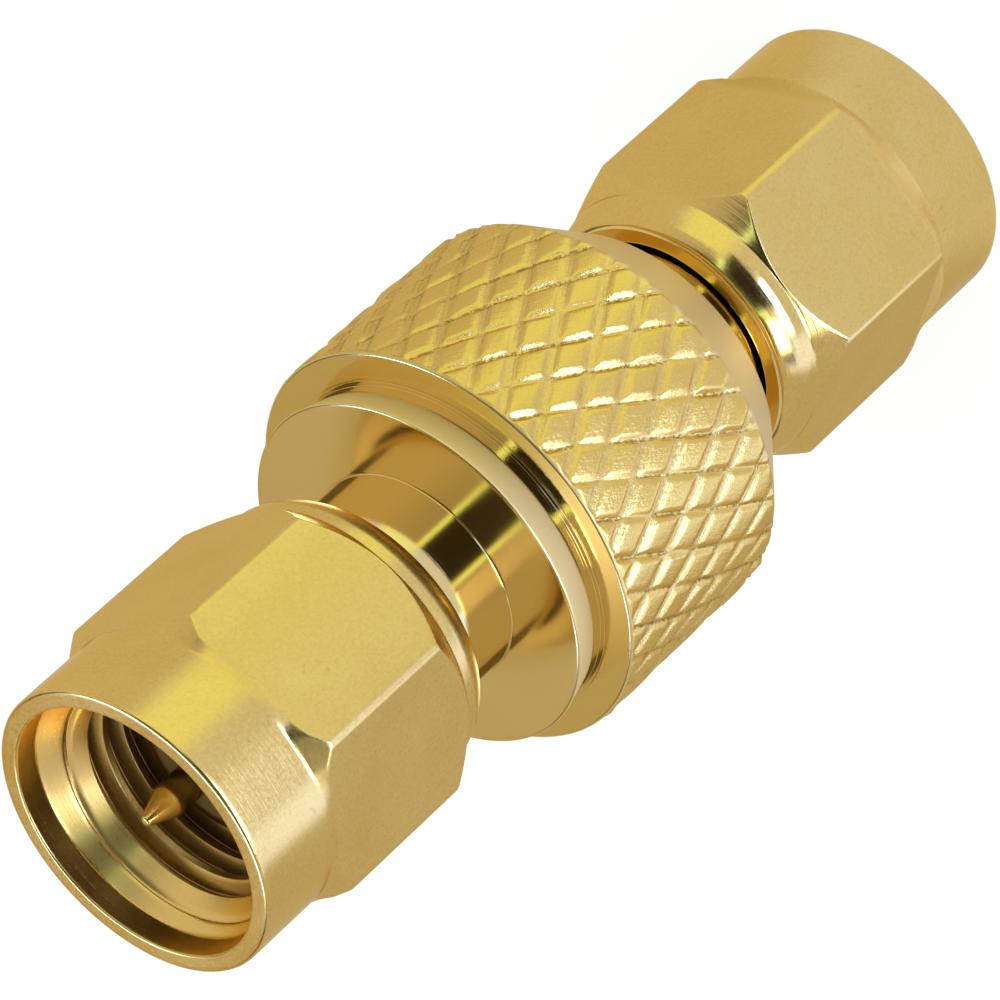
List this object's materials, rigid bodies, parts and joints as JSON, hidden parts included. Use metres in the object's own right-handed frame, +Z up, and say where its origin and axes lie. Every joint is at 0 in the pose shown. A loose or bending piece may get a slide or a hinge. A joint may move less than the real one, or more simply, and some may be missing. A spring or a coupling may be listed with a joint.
{
  "type": "coax adapter",
  "caption": "Straight coaxial adapter with a threaded plug at each end: knurled barrel, captive hexagon coupling nuts and a centre pin in each socket, plated gold.",
  "frame": {"origin": "centre of the lower coupling nut's rim, on the surface that the adapter stands on", "axes": "+Z up the adapter's axis, from the beveled end of the barrel to the end with the collar; X through a flat of the upper nut"},
  "size_m": [0.0114, 0.0114, 0.0303],
  "materials": {
    "gold_plate": "bright gold plating over turned brass",
    "contact_gold": "bright gold plating",
    "ptfe": "waxy white PTFE",
    "gasket_rubber": "soft red silicone",
    "ring_bronze": "drawn spring bronze"
  },
  "bodies": {
    "body": {"knurled_body": "gold_plate", "plug_insert": "gold_plate", "centre_contact": "contact_gold", "insulator_lower": "ptfe", "insulator_upper": "ptfe", "gasket_lower": "gasket_rubber", "gasket_upper": "gasket_rubber"},
    "ring_lower": {"retaining_ring_lower": "ring_bronze"},
    "ring_upper": {"retaining_ring_upper": "ring_bronze"},
    "nut_lower": {"coupling_nut_lower": "gold_plate"},
    "nut_upper": {"coupling_nut_upper": "gold_plate"}
  },
  "joints": [
    {"name": "upper_nut_travel", "type": "slide", "parent": "body", "child": "ring_upper", "axis": [0, 0, 1], "range_m": [0, 0.0003]},
    {"name": "upper_nut_spin", "type": "hinge", "parent": "ring_upper", "child": "nut_upper", "pos_m": [0, 0, 0.02585], "axis": [0, 0, 1], "continuous": true},
    {"name": "lower_nut_travel", "type": "slide", "parent": "body", "child": "ring_lower", "axis": [0, 0, -1], "range_m": [0, 0.0003]},
    {"name": "lower_nut_spin", "type": "hinge", "parent": "ring_lower", "child": "nut_lower", "pos_m": [0, 0, 0.00445], "axis": [0, 0, -1], "continuous": true}
  ]
}
